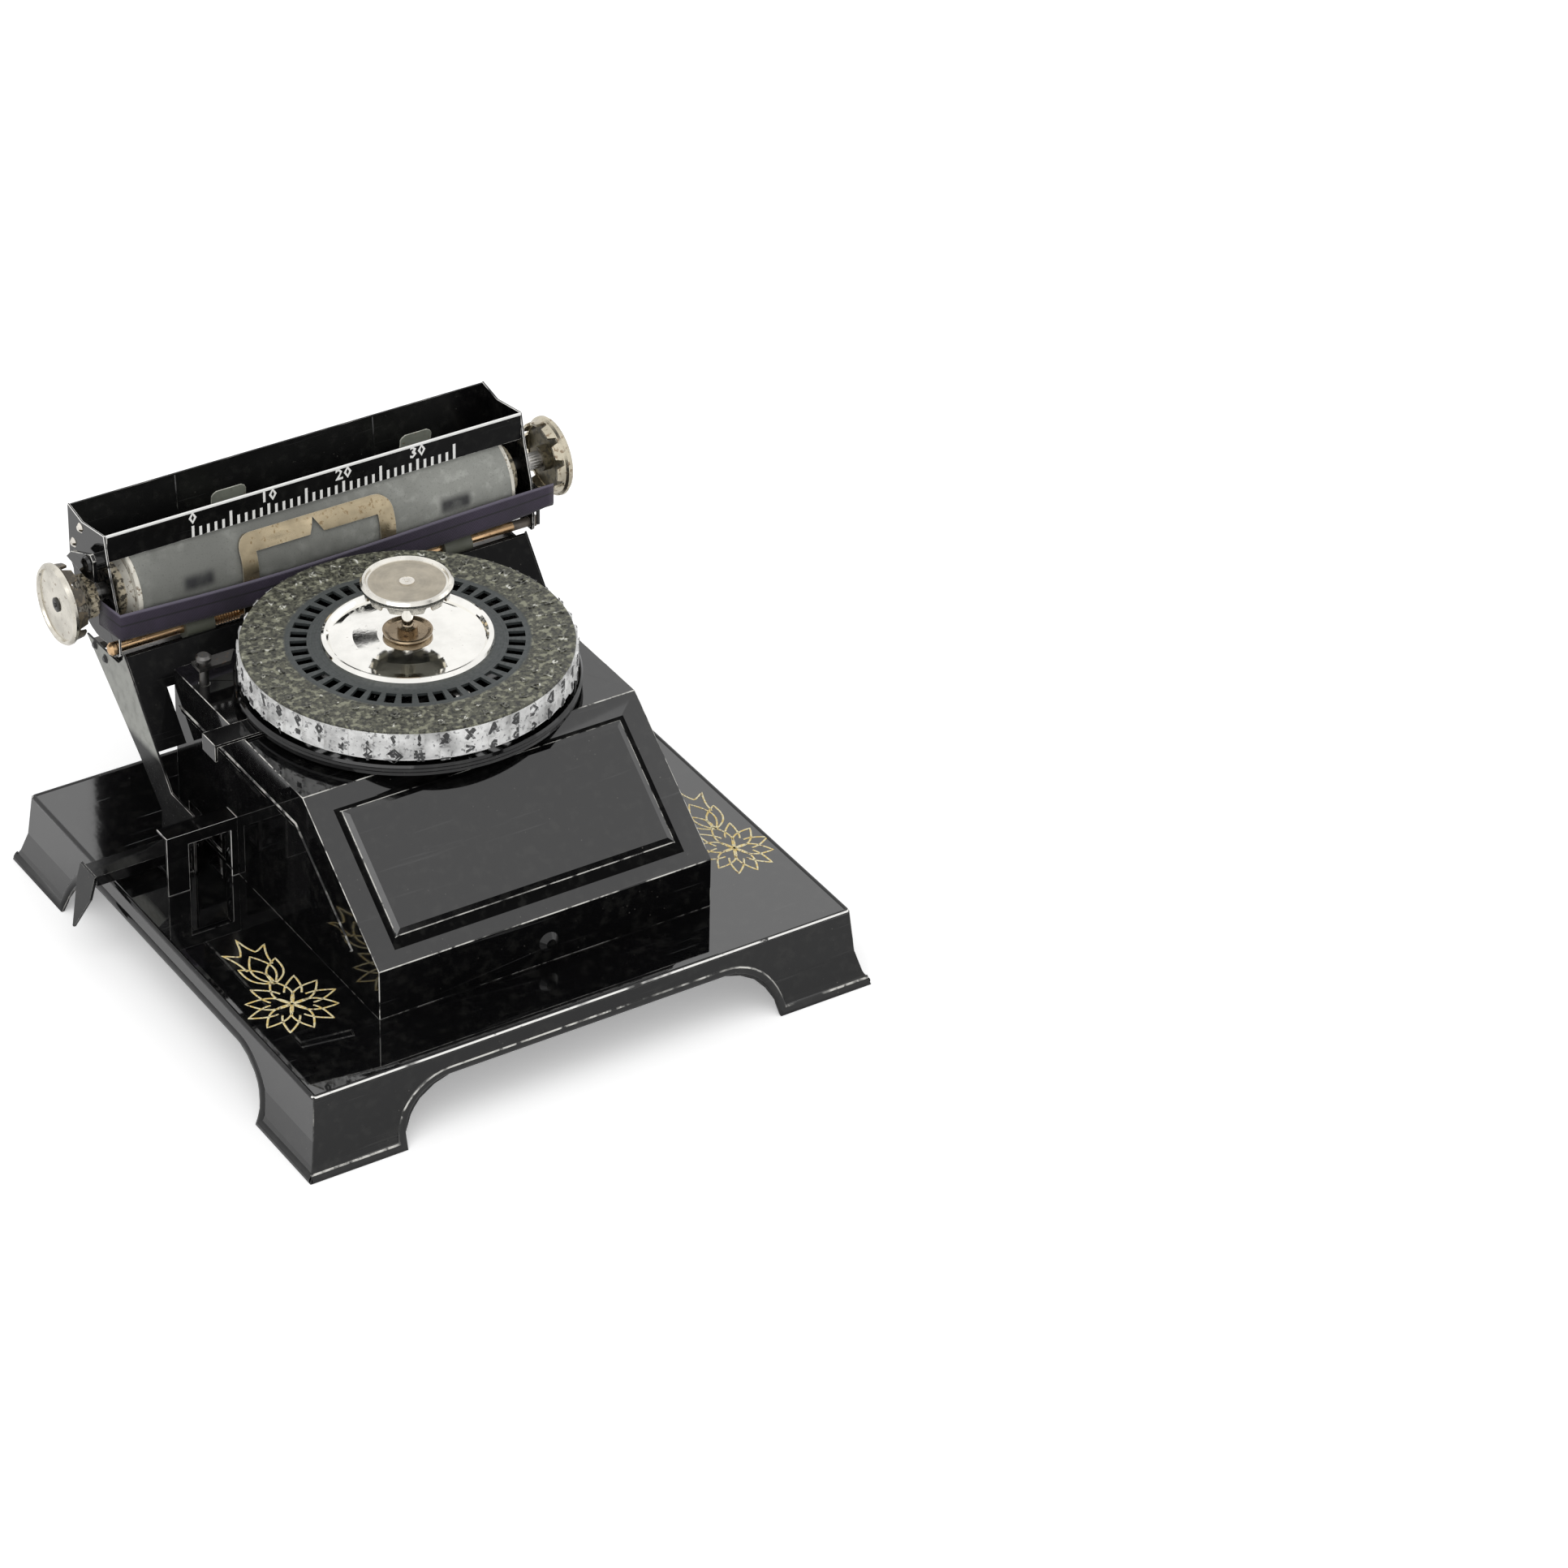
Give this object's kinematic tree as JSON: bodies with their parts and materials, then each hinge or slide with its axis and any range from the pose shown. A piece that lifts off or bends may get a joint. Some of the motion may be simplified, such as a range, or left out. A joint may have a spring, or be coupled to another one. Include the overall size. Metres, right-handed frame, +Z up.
{
  "type": "index typewriter",
  "caption": "Small lacquered index typewriter: a type wheel turned by a knob, a print lever, a shift slide and a sliding carriage with a rubber platen.",
  "frame": {"origin": "on the surface that the machine stands on, under the centre of the base's plan", "axes": "+Z up, +X to the typist's right along the platen, +Y from the name panel towards the carriage"},
  "size_m": [0.2187, 0.2166, 0.1282],
  "materials": {
    "black": "gloss black stoved lacquer",
    "bronze": "tarnished bronze sheet",
    "copper": "dull copper",
    "dark_steel": "dark oiled steel",
    "disc": "dull grey-olive paint with raised characters",
    "nickel": "warm nickel plate",
    "ribbon": "inked violet-black cotton",
    "rubber": "worn grey rubber",
    "steel": "bright steel, a little dulled",
    "type_metal": "cast white metal, matt",
    "wood": "turned hardwood, unfinished"
  },
  "bodies": {
    "frame": {"base_tray": "black", "housing": "black", "front_screw": "black", "wheel_tray": "black", "tray_rivets": "steel", "slide_guides": "dark_steel", "rocker_bearing": "steel", "lever_guard": "black", "support_side_left": "black", "support_side_right": "black", "support_web": "black", "frame_rivets": "black", "carriage_rail": "steel", "rear_tie": "dark_steel", "pawl_pin": "steel", "aligner_frame": "bronze", "aligner_rivets": "bronze"},
    "print_lever_unit": {"print_lever": "black", "rocker_shaft": "steel", "rocker_arm": "steel", "locking_arm": "dark_steel", "lever_spring": "steel"},
    "wheel_slide_unit": {"wheel_slide": "dark_steel"},
    "shift_unit": {"shift_slide": "black"},
    "wheel_lift_unit": {"lift_spindle": "steel", "detent_spring": "steel"},
    "type_wheel_unit": {"wheel_hub": "steel", "index_disc": "disc", "type_band": "type_metal", "hub_dome": "nickel", "hub_collar": "bronze", "selector_stem": "nickel", "selector_knob": "nickel", "selector_screw": "nickel"},
    "carriage_unit": {"end_plate_left": "black", "end_plate_right": "black", "carriage_back": "black", "ruler_bar": "black", "carriage_rivets": "nickel", "rail_shoes": "steel", "feed_rack": "steel", "paper_fingers": "steel", "ink_ribbon": "ribbon", "ribbon_clip_left": "black", "ribbon_clip_right": "black", "pawl_stud": "steel"},
    "platen_unit": {"platen_rubber": "rubber", "platen_core": "wood", "platen_caps": "nickel", "platen_shaft": "steel", "platen_knob_left": "nickel", "platen_knob_right": "nickel", "knob_screws": "nickel", "ratchet_wheel": "nickel"},
    "feed_roller_unit": {"feed_rod": "copper", "feed_rollers": "rubber", "feed_spring": "steel"},
    "line_pawl_unit": {"line_pawl": "black"},
    "feed_pawl_unit": {"feed_pawl": "steel"}
  },
  "joints": [
    {"name": "print_press", "type": "hinge", "parent": "frame", "child": "print_lever_unit", "pos_m": [-0.0575, 0.051, 0.03], "axis": [0, 0, 1], "range_deg": [0, 5.9], "stiffness_Nm_per_rad": 0.4},
    {"name": "wheel_strike", "type": "slide", "parent": "frame", "child": "wheel_slide_unit", "axis": [0, 1, 0], "range_m": [0, 0.0024]},
    {"name": "shift", "type": "slide", "parent": "wheel_slide_unit", "child": "shift_unit", "axis": [-1, 0, 0], "range_m": [0, 0.0055]},
    {"name": "wheel_rise", "type": "slide", "parent": "wheel_slide_unit", "child": "wheel_lift_unit", "axis": [0, 0, 1], "range_m": [0, 0.0055]},
    {"name": "wheel_turn", "type": "hinge", "parent": "wheel_lift_unit", "child": "type_wheel_unit", "pos_m": [0, 0.017, 0.1], "axis": [0, 0, 1], "continuous": true},
    {"name": "carriage_travel", "type": "slide", "parent": "frame", "child": "carriage_unit", "axis": [1, 0, 0], "range_m": [-0.054, 0.044]},
    {"name": "platen_turn", "type": "hinge", "parent": "carriage_unit", "child": "platen_unit", "pos_m": [0.0045, 0.092, 0.1035], "axis": [1, 0, 0], "continuous": true},
    {"name": "feed_roller_turn", "type": "hinge", "parent": "carriage_unit", "child": "feed_roller_unit", "pos_m": [0.0045, 0.0808, 0.08778], "axis": [1, 0, 0], "continuous": true},
    {"name": "line_pawl_lift", "type": "hinge", "parent": "carriage_unit", "child": "line_pawl_unit", "pos_m": [-0.0791, 0.0875, 0.1185], "axis": [1, 0, 0], "range_deg": [0, 8], "stiffness_Nm_per_rad": 0.02},
    {"name": "feed_pawl_drop", "type": "hinge", "parent": "frame", "child": "feed_pawl_unit", "pos_m": [0.014, 0.0994, 0.0804], "axis": [0, 1, 0], "range_deg": [0, 6], "stiffness_Nm_per_rad": 0.01}
  ],
  "couplings": [
    {"joint": "print_press", "follows": "wheel_strike", "rad_per_m": 41.667},
    {"joint": "wheel_rise", "follows": "shift", "ratio": 1},
    {"joint": "feed_roller_turn", "follows": "platen_turn", "ratio": -3.75}
  ]
}
